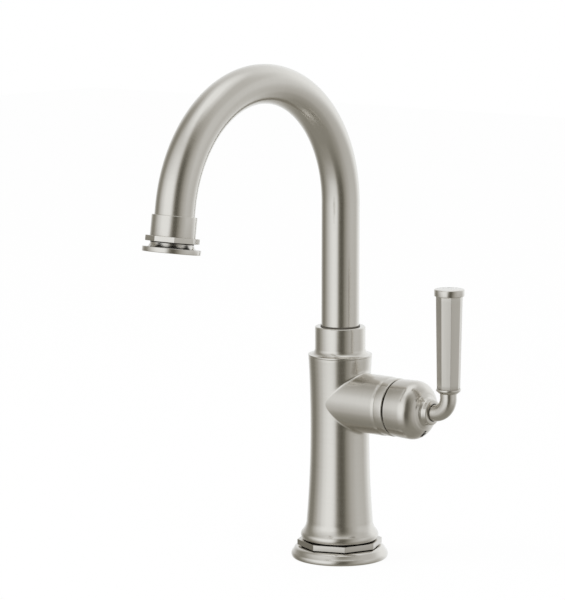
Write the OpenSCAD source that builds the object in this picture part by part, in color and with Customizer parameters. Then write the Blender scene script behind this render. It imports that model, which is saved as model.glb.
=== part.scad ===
// Gooseneck bar faucet with one side lever, standing on its deck flange.
// Origin: on the body's axis, in the deck plane. +Z is up, the spout reaches
// towards -Y and the handle sits on +X. All sizes are in millimetres.

/* [Base] */
// Radius of the base flange
flange_r = 32.6; // [31.5:0.1:40]
// Height of the flange's rounded rim
flange_rim_h = 4.5; // [3.5:0.1:6]
// Whole height of the flange
flange_h = 8.2; // [7:0.1:11]
// Corner radius of the octagon ring under the body
base_octagon_r = 28.7; // [28:0.1:31]
// Height of the octagon ring
base_octagon_h = 3.8; // [3:0.1:6]
// Radius of the body's spigot that carries the two rings
spigot_r = 20.9; // [19:0.1:22]
// Width of the rubber gasket under the flange
gasket_w = 5; // [3:0.5:6]
// Thickness of the gasket
gasket_h = 1.2; // [0.8:0.1:2]

/* [Body] */
// Radius of the body's foot
foot_r = 26.2; // [24.5:0.1:28]
// Height of the rounded foot
foot_h = 5.6; // [4:0.1:8]
// Radius of the column just above the foot
neck_r = 22.3; // [21.5:0.1:23.5]
// Height of the hollow curve between foot and column
cove_h = 7.8; // [5:0.1:10]
// Radius of the column at its waist
waist_r = 19.8; // [19.6:0.1:21]
// Height of the waist above the deck
waist_z = 87; // [60:1:105]
// Radius of the column at its shoulder
shoulder_r = 21.3; // [20.6:0.1:22.4]
// Height of the body's top above the handle's axis
body_top_rise = 29.8; // [27:0.2:50]
// Radius of the cored space in the column
core_r = 17; // [15:0.5:18]

/* [Spout collar] */
// Wall of the collar round the tube
collar_wall = 4.2; // [3.6:0.1:5.8]
// Height of the collar above the body
collar_h = 20; // [14:0.5:30]
// Radius of the hollow curve at the collar's foot
collar_cove_r = 4; // [2:0.1:4.5]

/* [Spout] */
// Radius of the spout tube
tube_r = 12.7; // [11.5:0.1:13]
// Wall of the spout tube
tube_wall = 1.2; // [0.8:0.1:1.6]
// Height of the end of the straight riser
riser_top_z = 239.8; // [190:0.5:290]
// Radius of the bend, to the middle of the tube
bend_r = 83.6; // [60:0.5:105]
// Angle that the bend turns through
bend_angle = 171.6; // [120:0.5:180]

/* [Spout tip] */
// Distance from the end of the bend to the sleeve
sleeve_start = 5.5; // [2:0.5:20]
// Length of the sleeve
sleeve_l = 13.2; // [10:0.1:20]
// Wall of the sleeve
sleeve_wall = 1.6; // [1.2:0.1:2.4]
// Reach of the octagon ring's corners past the sleeve
tip_octagon_over = 2.7; // [2:0.1:5]
// Height of the tip's octagon ring
tip_octagon_h = 3.4; // [2.5:0.1:5]
// Reach of the end ring past the sleeve
end_ring_over = 4.1; // [3.4:0.1:6.5]
// Height of the end ring's straight edge
end_ring_h = 3.2; // [1.5:0.1:5]
// Height of the hollow curve above the end ring
end_cove_h = 3.5; // [2:0.1:3.6]

/* [Handle] */
// Height of the handle's axis above the deck
handle_z = 107.2; // [90:0.1:130]
// Wall of the bonnet ring, which the branch stands a little proud of
bonnet_wall = 2.5; // [2:0.1:2.7]
// Width of the bonnet ring in front of the branch
bonnet_ring_w = 6.3; // [5.5:0.1:8]
// Gap between the bonnet ring and the handle's hub
hub_gap = 1.2; // [1:0.1:2]
// Swell of the hub's skirt past its rim
hub_swell = 0.4; // [0:0.1:2]
// Length of the hub's straight skirt
skirt_l = 11.4; // [9:0.1:16]
// Radius of the hub's round shoulder
shoulder_round = 10; // [6:0.5:11]
// Length of the dome in front of the skirt
dome_l = 10.6; // [10:0.1:14]
// Radius of the dome's edge
dome_edge_r = 12.1; // [11:0.1:13]
// Radius of the bead at the hub's neck
neck_bead_r = 8.9; // [8.2:0.1:10]
// Length of the bent rod's straight root in front of the hub
elbow_root_l = 0.8; // [0.6:0.1:20]
// Length of the bent rod's straight neck under the lever
elbow_neck_l = 3.1; // [1:0.1:20]
// Radius of the bent rod
elbow_rod_r = 5.5; // [4.5:0.1:6]
// Radius of the rod's bend, to its middle
elbow_bend_r = 11; // [8:0.5:20]

/* [Lever] */
// Length of the octagonal grip
grip_l = 61; // [40:0.5:90]
// Corner radius of the grip at its foot
grip_foot_r = 7.7; // [6.5:0.1:9]
// Corner radius of the grip at its top
grip_top_r = 8.8; // [7:0.1:10]
// Height of the bead under the grip
bead_h = 3.2; // [2:0.1:4]
// Overhang of the bead past the grip's corners
bead_over = 0.4; // [0:0.1:1.5]
// Height of the round cap
cap_h = 4.5; // [3:0.1:8]
// Overhang of the cap past the grip's corners
cap_over = 1.1; // [0.5:0.1:3]

/* [Valve] */
// Radius of the cartridge
cartridge_r = 14; // [13:0.1:14.4]
// Distance of the cartridge's seat from the body's axis
seat_x = 8; // [7:0.5:12]
// Distance from the hub's rim back to the tilt pin
pivot_back = 15; // [14:0.1:17]
// Wall of the cartridge's housing
housing_wall = 1.6; // [1.2:0.1:2]
// Distance from the tilt pin to the stem's inner ball
stem_arm = 11; // [10:0.5:12]
// Width across the square stem
stem_w = 8; // [6:0.5:9]
// Radius of the tilt pin
pin_r = 1.5; // [1:0.1:2]
// Thickness of each ceramic disc
disc_h = 3; // [2:0.1:3.2]
// Largest tilt of the lever, in degrees
tilt_max = 20; // [10:1:20]

/* [Fits] */
// Gap round pieces that are fixed in each other
fixed_gap = 0.1; // [0.05:0.01:0.15]
// Gap round pieces that turn in each other
running_gap = 0.05; // [0.02:0.01:0.1]
// Gap between pieces that pass each other
free_gap = 0.3; // [0.2:0.05:0.4]

/* [Hidden] */

$fn = 96;
chamfer = 0.4;
over = 1;

// Base
base_top_z = flange_h + base_octagon_h;
ring_bore_r = spigot_r + fixed_gap;
insert_r = spigot_r - 3;
insert_lip_h = 2;
port_r = 4.5;
port_l = 8;
port_x = 3;
port_y = 8.5;
stud_r = 3.4;
stud_x = -8.5;
supply_r = 4;
supply_bore_r = 3;
supply_socket = 6;

// Body
body_top_z = handle_z + body_top_rise;
foot_top_z = base_top_z + foot_h;
neck_z = foot_top_z + cove_h;
foot_bulge = 1;
shadow_gap = 0.6;
core_roof = 5.2;
core_top_z = handle_z - cartridge_r - core_roof;

// Spout seat inside the top of the body
seat_bore_r = 9.4;
seat_floor = 2.6;
seat_bottom_z = handle_z + cartridge_r + seat_floor;
thread_l = 5;
seat_top_z = body_top_z - thread_l;
washer_h = 1;
stem_flange_r = tube_r + 1.8;
thread_r = stem_flange_r + 1.7;
collar_r = tube_r + collar_wall;
stem_flange_z = seat_top_z + washer_h + running_gap;
tube_foot_z = body_top_z - washer_h - running_gap;
collar_top_z = body_top_z + collar_h;
collar_lip_h = 0.9;
collar_lip_gap = 0.5;
bushing_r = tube_r + 1.2;
bushing_z = body_top_z + 2 * fixed_gap;
bushing_h = collar_top_z - collar_lip_h - fixed_gap - bushing_z;
o_ring_r = 0.9;
o_ring_mid_r = seat_bore_r - o_ring_r - running_gap;

// Spout tip, measured along the tube from the end of the bend
tube_bore_r = tube_r - tube_wall;
sleeve_r = tube_r + sleeve_wall;
sleeve_end = sleeve_start + sleeve_l;
tip_ledge = 0.8;
tip_octagon_r = sleeve_r + tip_octagon_over;
octagon_end = sleeve_end + tip_octagon_h;
tip_neck_r = sleeve_r - 0.3;
end_ring_r = sleeve_r + end_ring_over;
tip_end = octagon_end + end_cove_h + end_ring_h;
aerator_r = tube_bore_r - 0.5;
aerator_wall = 1.5;
aerator_seat_w = 1.4;
aerator_seat_h = 1;
aerator_recess = 1;
aerator_gasket_h = 1;
aerator_top = sleeve_end + aerator_seat_h + aerator_gasket_h;
aerator_screen_r = aerator_r - 1.2;
aerator_rings = 4;
aerator_pitch = 2.4;
aerator_hole_r = 0.75;
aerator_screen_h = 0.4;

// Cartridge, measured along the handle's axis from the body's axis
seal_h = 0.6;
base_x = seat_x + seal_h;
base_h = 5;
base_rim_h = 1.5;
fixed_disc_x = base_x + base_h;
moving_disc_x = fixed_disc_x + disc_h + running_gap;
carrier_x = moving_disc_x + disc_h;
carrier_floor = 1.55;
ball_r = 2.5;
ball_x = carrier_x + carrier_floor + free_gap + ball_r;
pivot_x = ball_x + stem_arm;
rotor_x = ball_x + 1;
rib_x = rotor_x + 1.6;
rib_w = 8.6;
housing_in_r = cartridge_r - housing_wall;
rotor_r = housing_in_r - free_gap;
rotor_front_x = pivot_x + 3.6;
front_wall = 1.4;
housing_front_x = rotor_front_x + free_gap + front_wall;
limit_ring_h = 1.4;
stem_neck_r = 2;
socket_gap = 0.15;
socket_mouth_r = stem_neck_r + 1.6;
disc_travel = stem_arm * tilt_max * PI / 180;
moving_disc_r = housing_in_r - disc_travel / 2 - 2 * free_gap;
water_port_r = 2.3;
inlet_y = 6.6;
inlet_drop = 4;
outlet_rise = 5.6;

// Bonnet in front of the branch
rim_x = pivot_x + pivot_back;
bonnet_front_x = rim_x - hub_gap;
branch_end_x = bonnet_front_x - bonnet_ring_w;
nut_r = cartridge_r + 1.5;
nut_front_x = bonnet_front_x - 1.8;
nut_bore_r = 9.6;
bonnet_spigot_r = nut_r + 1.4;
bonnet_ring_r = bonnet_spigot_r + bonnet_wall;
branch_r = bonnet_ring_r + 0.4;
spigot_end_x = nut_front_x + 0.6;

// Handle
hub_wall = 0.9;
hub_rim_r = bonnet_ring_r - 0.3;
hub_r = hub_rim_r + hub_swell;
skirt_x = rim_x + skirt_l;
dome_x = skirt_x + dome_l;
neck_bead_x = dome_x + 3.8;
groove_x = neck_bead_x + 1.9;
groove_r = 6.6;
boss_r = 8.5;
boss_x = rim_x + 3;
cavity_x = skirt_x + 5.4;
stem_end_x = dome_x - 0.5;
set_screw_x = dome_x - 2.7;
set_screw_r = 2;
set_screw_l = 6;
stud_grip_r = 4;
hub_stud_l = 5;
bend_x = groove_x + elbow_root_l;
lever_x = bend_x + elbow_bend_r;
bend_top_z = handle_z + elbow_bend_r;
bead_foot_z = bend_top_z + elbow_neck_l;
lever_foot_z = bead_foot_z + bead_h;

brass = [0.80, 0.66, 0.38];
nickel = [0.72, 0.70, 0.66];
rubber = [0.10, 0.10, 0.11];
dark_plastic = [0.16, 0.16, 0.17];
red_plastic = [0.75, 0.15, 0.12];
white_plastic = [0.90, 0.90, 0.88];
ceramic = [0.95, 0.94, 0.90];
copper = [0.78, 0.48, 0.33];
steel = [0.62, 0.63, 0.64];

// Points on an arc round c, from angle a to angle b
function arc(c, r, a, b, n = 10) =
    [for (i = [0:n]) c + r * [cos(a + (b - a) * i / n), sin(a + (b - a) * i / n)]];

// Radius of the circle that rises by d over the length l from its flat point
function sweep_r(l, d) = (l * l + d * d) / (2 * d);

// One side of a column that widens from w at z0 to r at z1, upright at z0
function flare(w, z0, r, z1, n = 10) =
    let (R = sweep_r(abs(z1 - z0), r - w), a = asin((z1 - z0) / R))
    arc([w + R, z0], R, 180, 180 - a, n);

function reversed(p) = [for (i = [len(p) - 1:-1:0]) p[i]];

function flipped(p) = [for (q = p) [q[1], q[0]]];

module turned(points) {
    rotate_extrude() polygon(points);
}

// Turns a profile round the handle's axis; its second number is the distance along +X
module turned_x(points) {
    translate([0, 0, handle_z]) rotate([0, 90, 0]) turned(points);
}

module ring(r_out, r_in, h) {
    difference() {
        cylinder(r = r_out, h = h);
        translate([0, 0, -over]) cylinder(r = r_in, h = h + 2 * over);
    }
}

module ring_x(x, r_out, r_in, h) {
    translate([x, 0, handle_z]) rotate([0, 90, 0]) ring(r_out, r_in, h);
}

// A plain round hole or rod along +X, from x to x + l
module rod_x(x, r, l, y = 0, dz = 0) {
    translate([x, y, handle_z + dz]) rotate([0, 90, 0]) cylinder(r = r, h = l);
}

// Places children on the tube's middle line, s past the end of the bend
module at_tip(s) {
    translate([0, -bend_r, riser_top_z])
        rotate([bend_angle, 0, 0])
            translate([0, bend_r, s]) children();
}

module octagon_ring(r_corner, r_in, h) {
    difference() {
        cylinder(r = r_corner, h = h, $fn = 8);
        translate([0, 0, -over]) cylinder(r = r_in, h = h + 2 * over);
    }
}

// ---- base ----

// A rounded rim, a round shoulder above it and a narrow gap under the octagon ring
module base_flange() {
    rim_round = 1.3;
    rim_mid_z = 0.42 * flange_rim_h;
    rim_arc_r = sweep_r(flange_rim_h - rim_mid_z, rim_round);
    flat_r = base_octagon_r * cos(22.5);
    seat_r = flat_r + 0.7;
    seat_z = flange_h - shadow_gap;
    run = flange_r - rim_round - seat_r;
    slope_r = sweep_r(run, seat_z - flange_rim_h);
    color(nickel)
    difference() {
        turned(concat(
            [[ring_bore_r, 0]],
            arc([flange_r - rim_arc_r, rim_mid_z], rim_arc_r, -asin(rim_mid_z / rim_arc_r),
                asin((flange_rim_h - rim_mid_z) / rim_arc_r), 8),
            arc([seat_r, seat_z - slope_r], slope_r, 90 - asin(run / slope_r), 90, 8),
            [[flat_r - 1, seat_z], [flat_r - 1, flange_h], [ring_bore_r, flange_h]]
        ));
        gasket_space(fixed_gap);
    }
}

module gasket_space(gap) {
    mid = (flange_r + ring_bore_r) / 2;
    translate([0, 0, -gap]) ring(mid + gasket_w / 2 + gap, mid - gasket_w / 2 - gap, gasket_h + gap);
}

module base_gasket() {
    color(rubber) gasket_space(0);
}

module base_octagon_ring() {
    color(nickel)
    translate([0, 0, flange_h]) octagon_ring(base_octagon_r, ring_bore_r, base_octagon_h);
}

module supply_places() {
    for (side = [-1, 1]) translate([port_x, side * port_y, 0]) children();
}

module mounting_insert() {
    color(brass)
    difference() {
        union() {
            cylinder(r = insert_r, h = base_top_z);
            cylinder(r = spigot_r, h = insert_lip_h);
        }
        supply_places() {
            translate([0, 0, -over]) cylinder(r = port_r, h = port_l + over);
            translate([0, 0, port_l]) cylinder(r = supply_r + fixed_gap, h = base_top_z);
        }
        translate([stud_x, 0, -over]) cylinder(r = stud_r, h = base_top_z + 2 * over);
    }
}

module supply_tube(side) {
    color(copper)
    translate([port_x, side * port_y, port_l + fixed_gap])
        ring(supply_r, supply_bore_r, core_top_z + supply_socket - port_l - 2 * fixed_gap);
}

module hot_supply_tube() supply_tube(1);

module cold_supply_tube() supply_tube(-1);

// ---- body ----

module column() {
    spigot_foot_z = insert_lip_h + fixed_gap;
    ridge_r = foot_r - foot_bulge;
    cove_r = sweep_r(cove_h, ridge_r - neck_r);
    cove_a = asin(cove_h / cove_r);
    bulge_half = (foot_h - shadow_gap) / 2;
    bulge_r = sweep_r(bulge_half, foot_bulge);
    bulge_a = asin(bulge_half / bulge_r);
    turned(concat(
        [[0, spigot_foot_z], [spigot_r, spigot_foot_z], [spigot_r, base_top_z]],
        [[ridge_r - 0.8, base_top_z], [ridge_r - 0.8, foot_top_z - 2 * bulge_half]],
        arc([foot_r - bulge_r, foot_top_z - bulge_half], bulge_r, -bulge_a, bulge_a, 8),
        arc([neck_r + cove_r, neck_z], cove_r, 180 + cove_a, 180, 10),
        reversed(flare(waist_r, waist_z, neck_r, neck_z, 14)),
        flare(waist_r, waist_z, shoulder_r, body_top_z - chamfer, 12),
        [[shoulder_r - chamfer, body_top_z], [0, body_top_z]]
    ));
}

module body_casting() {
    color(nickel)
    difference() {
        union() {
            column();
            turned_x([
                [0, 0], [branch_r, 0], [branch_r, branch_end_x - chamfer],
                [branch_r - chamfer, branch_end_x], [0, branch_end_x]
            ]);
            rod_x(0, bonnet_spigot_r, spigot_end_x);
        }
        cylinder(r = insert_r + fixed_gap, h = base_top_z);
        translate([0, 0, base_top_z - over]) cylinder(r = core_r, h = core_top_z - base_top_z + over);
        rod_x(seat_x, cartridge_r + fixed_gap, spigot_end_x);
        rod_x(housing_front_x, nut_r + fixed_gap, spigot_end_x);
        translate([0, 0, seat_top_z]) cylinder(r = thread_r, h = thread_l + over);
        translate([0, 0, seat_bottom_z]) cylinder(r = seat_bore_r, h = thread_l + body_top_z);
        waterways();
    }
}

module waterways() {
    supply_places() {
        translate([0, 0, core_top_z - over])
            cylinder(r = supply_r + fixed_gap, h = supply_socket + over);
        translate([0, 0, core_top_z])
            cylinder(r = supply_bore_r, h = handle_z - inlet_drop - core_top_z);
    }
    for (side = [-1, 1])
        rod_x(port_x, water_port_r, seat_x, side * inlet_y, -inlet_drop);
    rod_x(0, water_port_r, seat_x + over, 0, outlet_rise);
    translate([0, 0, handle_z + outlet_rise - water_port_r])
        cylinder(r = supply_bore_r, h = seat_bottom_z);
}

module spout_collar() {
    foot_r_out = collar_r + collar_cove_r + 0.5;
    foot_edge_h = 1.2;
    edge = 0.9;
    color(nickel)
    turned(concat(
        [[stem_flange_r + 2 * fixed_gap, seat_top_z + fixed_gap]],
        [[thread_r - fixed_gap, seat_top_z + fixed_gap], [thread_r - fixed_gap, body_top_z]],
        [[foot_r_out - 0.3, body_top_z], [foot_r_out, body_top_z + 0.3]],
        [[foot_r_out, body_top_z + foot_edge_h - 0.2], [foot_r_out - 0.2, body_top_z + foot_edge_h]],
        reversed(arc([collar_r + collar_cove_r, body_top_z + foot_edge_h + collar_cove_r],
                     collar_cove_r, 180, 270, 8)),
        arc([collar_r - edge, collar_top_z - edge], edge, 0, 90, 6),
        [[tube_r + collar_lip_gap, collar_top_z]],
        [[tube_r + collar_lip_gap, collar_top_z - collar_lip_h]],
        [[bushing_r + fixed_gap, collar_top_z - collar_lip_h]],
        [[bushing_r + fixed_gap, body_top_z + running_gap]],
        [[stem_flange_r + 2 * fixed_gap, body_top_z + running_gap]]
    ));
}

module thrust_washer() {
    color(white_plastic)
    translate([0, 0, seat_top_z]) ring(stem_flange_r, seat_bore_r + free_gap, washer_h);
}

module collar_washer() {
    color(white_plastic)
    translate([0, 0, body_top_z - washer_h + running_gap])
        ring(stem_flange_r, tube_r + free_gap, washer_h);
}

// A sleeve held under the collar's lip, with a thin wiper that stands out round the tube
module guide_bushing() {
    wiper_r = tube_r + collar_lip_gap - fixed_gap;
    wiper_h = 0.7;
    color(dark_plastic)
    turned([
        [tube_r + running_gap, bushing_z], [bushing_r, bushing_z], [bushing_r, bushing_z + bushing_h],
        [wiper_r, bushing_z + bushing_h], [wiper_r, collar_top_z + wiper_h],
        [tube_r + running_gap, collar_top_z + wiper_h]
    ]);
}

// ---- spout ----

// The straight end is sized a hair under the bend that it starts inside
module gooseneck_tube() {
    end_step = 0.02;
    end_lap = 1;
    end_l = sleeve_end - tip_ledge;
    color(nickel)
    union() {
        translate([0, 0, tube_foot_z]) ring(tube_r, tube_bore_r, riser_top_z - tube_foot_z);
        translate([0, -bend_r, riser_top_z]) rotate([90, 0, 90])
            rotate_extrude(angle = bend_angle) translate([bend_r, 0]) difference() {
                circle(r = tube_r);
                circle(r = tube_bore_r);
            }
        at_tip(-end_lap) ring(tube_r - end_step, tube_bore_r + end_step, end_l + end_lap);
    }
}

module o_ring_places() {
    nose_l = seat_top_z - seat_bottom_z;
    for (share = [0.3, 0.7]) translate([0, 0, seat_bottom_z + nose_l * share]) children();
}

module spout_stem() {
    nose_r = seat_bore_r - running_gap;
    nose_foot_z = seat_bottom_z + free_gap;
    spigot_top_z = tube_foot_z + 9;
    way_r = 6;
    color(brass)
    difference() {
        turned([
            [way_r, nose_foot_z], [nose_r - chamfer, nose_foot_z], [nose_r, nose_foot_z + chamfer],
            [nose_r, stem_flange_z], [stem_flange_r, stem_flange_z], [stem_flange_r, tube_foot_z],
            [tube_bore_r, tube_foot_z], [tube_bore_r, spigot_top_z], [way_r, spigot_top_z]
        ]);
        o_ring_places() translate([0, 0, -o_ring_r])
            ring(nose_r + over, o_ring_mid_r - o_ring_r, 2 * o_ring_r);
    }
}

module spout_o_rings() {
    color(rubber)
    o_ring_places() rotate_extrude() translate([o_ring_mid_r, 0]) circle(r = o_ring_r);
}

module tip_sleeve() {
    color(nickel)
    at_tip(sleeve_start) turned([
        [tube_r, 0.3], [tube_r + 0.3, 0], [sleeve_r - 0.5, 0], [sleeve_r, 0.5], [sleeve_r, sleeve_l],
        [tube_bore_r, sleeve_l], [tube_bore_r, sleeve_l - tip_ledge], [tube_r, sleeve_l - tip_ledge]
    ]);
}

module tip_octagon_ring() {
    color(nickel)
    at_tip(sleeve_end) octagon_ring(tip_octagon_r, aerator_r + aerator_wall + fixed_gap, tip_octagon_h);
}

module aerator_housing() {
    cove_r = end_ring_r - tip_neck_r;
    cove_a = asin(end_cove_h / cove_r);
    bore_r = aerator_r + fixed_gap;
    thread_out_r = aerator_r + aerator_wall;
    seat_in_r = aerator_r - aerator_seat_w;
    color(nickel)
    at_tip(0) turned(concat(
        [[seat_in_r, sleeve_end], [thread_out_r, sleeve_end], [thread_out_r, octagon_end]],
        [[tip_neck_r, octagon_end]],
        reversed(arc([tip_neck_r + cove_r, octagon_end], cove_r, 180 - cove_a, 180, 8)),
        [[end_ring_r - 0.3, octagon_end + end_cove_h], [end_ring_r, octagon_end + end_cove_h + 0.3]],
        [[end_ring_r, tip_end - 0.3], [end_ring_r - 0.3, tip_end]],
        [[bore_r + 0.7, tip_end], [bore_r, tip_end - 0.8]],
        [[bore_r, sleeve_end + aerator_seat_h], [seat_in_r, sleeve_end + aerator_seat_h]]
    ));
}

module aerator_gasket() {
    color(rubber)
    at_tip(sleeve_end + aerator_seat_h) ring(aerator_r, aerator_r - 2.4, aerator_gasket_h);
}

// Children at the places of a hexagon grid with the given number of rings
module hexagon_grid(rings, pitch) {
    for (i = [-rings:rings], j = [-rings:rings])
        if (abs(i + j) <= rings)
            translate([pitch * (i + j / 2), pitch * j * sin(60), 0]) children();
}

module aerator_screen() {
    hole_r = 0.9;
    color(steel)
    at_tip(aerator_top) difference() {
        cylinder(r = aerator_screen_r, h = aerator_screen_h);
        translate([0, 0, -over]) hexagon_grid(aerator_rings - 1, 2.6) cylinder(r = hole_r, h = 3 * over);
    }
}

module aerator_insert() {
    insert_l = tip_end - aerator_recess - aerator_top;
    cup_l = insert_l - 2.5;
    cup_wall = 2;
    color(white_plastic)
    at_tip(aerator_top) difference() {
        cylinder(r = aerator_r, h = insert_l);
        translate([0, 0, -over]) cylinder(r = aerator_screen_r + fixed_gap, h = aerator_screen_h + over);
        translate([0, 0, -over]) cylinder(r = aerator_r - cup_wall, h = cup_l + over);
        hexagon_grid(aerator_rings - 1, aerator_pitch) cylinder(r = aerator_hole_r, h = insert_l + over);
    }
}

// ---- valve, fixed pieces ----

module bonnet_ring() {
    front_chamfer = 0.9;
    color(nickel)
    turned_x([
        [bonnet_spigot_r + fixed_gap, branch_end_x], [bonnet_ring_r, branch_end_x],
        [bonnet_ring_r, bonnet_front_x - front_chamfer],
        [bonnet_ring_r - 0.7, bonnet_front_x], [nut_bore_r + 3, bonnet_front_x],
        [nut_bore_r + 3, spigot_end_x + free_gap], [bonnet_spigot_r + fixed_gap, spigot_end_x + free_gap]
    ]);
}

module bonnet_nut() {
    nut_x = housing_front_x + limit_ring_h;
    flat_w = 24;
    color(brass)
    difference() {
        turned_x([
            [nut_bore_r, nut_x], [nut_r, nut_x], [nut_r, nut_front_x - 1], [nut_r - 1, nut_front_x],
            [nut_bore_r, nut_front_x]
        ]);
        for (a = [0:60:300])
            translate([nut_front_x - 2, 0, handle_z]) rotate([a, 0, 0])
                translate([0, -1.2, nut_bore_r - over]) cube([2 + over, 2.4, 2.4 + over]);
    }
}

module cartridge_housing() {
    color(white_plastic)
    difference() {
        rod_x(base_x + base_rim_h, cartridge_r, housing_front_x - base_x - base_rim_h);
        rod_x(base_x, housing_in_r, rotor_front_x + free_gap - base_x);
        rod_x(rotor_front_x, nut_bore_r, front_wall + 2 * over);
    }
}

// The three water ways through the cartridge's base and fixed disc
module water_ports(x, l, r) {
    for (side = [-1, 1]) rod_x(x, r, l, side * inlet_y, -inlet_drop);
    rod_x(x, r, l, 0, outlet_rise);
}

module cartridge_base() {
    color(white_plastic)
    difference() {
        union() {
            rod_x(base_x, cartridge_r, base_rim_h);
            rod_x(base_x + base_rim_h, housing_in_r - fixed_gap, base_h - base_rim_h);
        }
        water_ports(base_x - over, base_h + 2 * over, water_port_r);
    }
}

module cartridge_seals() {
    color(rubber)
    difference() {
        water_ports(seat_x, seal_h, water_port_r + 1.3);
        water_ports(seat_x - over, seal_h + 2 * over, water_port_r);
    }
}

module fixed_disc() {
    color(ceramic)
    difference() {
        rod_x(fixed_disc_x, housing_in_r - fixed_gap, disc_h);
        water_ports(fixed_disc_x - over, disc_h + 2 * over, water_port_r);
    }
}

module limit_ring() {
    color(red_plastic)
    ring_x(housing_front_x, cartridge_r - 0.4, nut_bore_r, limit_ring_h);
}

// ---- valve, pieces that turn with the handle ----

module cartridge_rotor() {
    slot_half = stem_w / 2 + 2.2;
    color(steel)
    difference() {
        rod_x(rotor_x, rotor_r, rotor_front_x - rotor_x);
        translate([rotor_x - over, -stem_w / 2 - free_gap, handle_z - slot_half])
            cube([rotor_front_x - rotor_x + 2 * over, stem_w + 2 * free_gap, 2 * slot_half]);
        translate([rotor_x - over, -rib_w / 2 - free_gap, handle_z - rotor_r - over])
            cube([rib_x + free_gap - rotor_x + over, rib_w + 2 * free_gap, 2 * rotor_r + 2 * over]);
        pin_space(pin_r, rotor_r + over);
    }
}

module pin_space(r, half_l) {
    translate([pivot_x, half_l, handle_z]) rotate([90, 0, 0]) cylinder(r = r, h = 2 * half_l);
}

module tilt_pin() {
    color(steel) pin_space(pin_r, rotor_r - 1);
}

// ---- valve, pieces that slide across the fixed disc ----

module moving_disc() {
    pocket_w = 10;
    pocket_h = 6;
    pocket_drop = 2;
    color(ceramic)
    difference() {
        rod_x(moving_disc_x, moving_disc_r, disc_h, 0, -disc_travel / 2);
        translate([moving_disc_x - over, -pocket_w / 2, handle_z - disc_travel / 2 - pocket_drop])
            cube([over + disc_h / 2, pocket_w, pocket_h]);
    }
}

module disc_carrier() {
    rib_half_l = moving_disc_r - 2;
    color(white_plastic)
    difference() {
        union() {
            rod_x(carrier_x, moving_disc_r, rotor_x - free_gap - carrier_x, 0, -disc_travel / 2);
            translate([carrier_x, -rib_w / 2, handle_z - disc_travel / 2 - rib_half_l])
                cube([rib_x - carrier_x, rib_w, 2 * rib_half_l]);
        }
        rod_x(ball_x - ball_r - free_gap, ball_r + socket_gap, stem_arm);
        rod_x(ball_x + 0.6, socket_mouth_r, stem_arm);
    }
}

// ---- handle ----

module cartridge_stem() {
    neck_end_x = pivot_x - 4;
    color(steel)
    difference() {
        union() {
            translate([neck_end_x, -stem_w / 2, handle_z - stem_w / 2])
                cube([stem_end_x - neck_end_x, stem_w, stem_w]);
            rod_x(ball_x, stem_neck_r, neck_end_x + over - ball_x);
            translate([ball_x, 0, handle_z]) sphere(r = ball_r);
        }
        pin_space(pin_r + running_gap, stem_w);
    }
}

module handle_hub() {
    cavity_r = hub_rim_r - hub_wall;
    inner_round = shoulder_round - 2;
    round_end = 36;
    bead_round = 1.5;
    neck_r_in = neck_bead_r - 0.9;
    neck_cove_l = 2.3;
    neck_cove_r = sweep_r(neck_cove_l, dome_edge_r - neck_r_in);
    color(nickel)
    difference() {
        turned_x(concat(
            [[0, boss_x], [boss_r, boss_x], [boss_r, cavity_x]],
            flipped(arc([cavity_x - inner_round, cavity_r - inner_round], inner_round, 0, 90, 8)),
            [[cavity_r, rim_x], [hub_rim_r - 0.3, rim_x], [hub_rim_r, rim_x + 0.3]],
            flipped(arc([skirt_x, hub_r - shoulder_round], shoulder_round, 90, round_end, 10)),
            reversed(arc([neck_r_in + neck_cove_r, dome_x + neck_cove_l], neck_cove_r, 180,
                         360 - acos((dome_edge_r - neck_r_in - neck_cove_r) / neck_cove_r), 8)),
            flipped(arc([neck_bead_x, neck_bead_r - bead_round], bead_round, 150, 20, 8)),
            [[groove_r, groove_x], [0, groove_x]]
        ));
        hub_sockets();
    }
}

// Square socket for the stem, tapped hole for the set screw, hole for the rod's stud
module hub_sockets() {
    half = stem_w / 2 + fixed_gap;
    translate([rim_x, -half, handle_z - half]) cube([stem_end_x + fixed_gap - rim_x, 2 * half, 2 * half]);
    translate([set_screw_x, 0, handle_z - hub_r]) cylinder(r = set_screw_r + fixed_gap, h = hub_r);
    rod_x(groove_x - hub_stud_l, stud_grip_r + fixed_gap, hub_stud_l + over);
}

module hub_set_screw() {
    hex_r = 1.25;
    color(steel)
    translate([set_screw_x, 0, handle_z - stem_w / 2 - set_screw_l]) difference() {
        cylinder(r = set_screw_r, h = set_screw_l);
        translate([0, 0, -over]) cylinder(r = hex_r, h = 2.5 + over, $fn = 6);
    }
}

module handle_elbow() {
    color(nickel)
    union() {
        rod_x(groove_x - hub_stud_l + 0.4, stud_grip_r, hub_stud_l + 0.6);
        turned_x([
            [0, groove_x], [elbow_rod_r + chamfer, groove_x], [elbow_rod_r, groove_x + chamfer],
            [elbow_rod_r, bend_x], [0, bend_x]
        ]);
        translate([bend_x, 0, bend_top_z]) rotate([90, 90, 0])
            rotate_extrude(angle = 90) translate([elbow_bend_r, 0]) circle(r = elbow_rod_r);
        translate([lever_x, 0, bend_top_z]) cylinder(r = elbow_rod_r, h = elbow_neck_l);
        translate([lever_x, 0, bead_foot_z]) cylinder(r = stud_grip_r, h = bead_h + 8);
    }
}

module lever_bead() {
    bead_r = grip_foot_r + bead_over;
    round_r = bead_h - 0.6;
    color(nickel)
    translate([lever_x, 0, lever_foot_z - bead_h]) turned(concat(
        [[stud_grip_r + fixed_gap, 0]],
        arc([bead_r - round_r, round_r], round_r, -80, 0, 8),
        [[bead_r, bead_h - 0.3], [bead_r - 0.3, bead_h], [stud_grip_r + fixed_gap, bead_h]]
    ));
}

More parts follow.
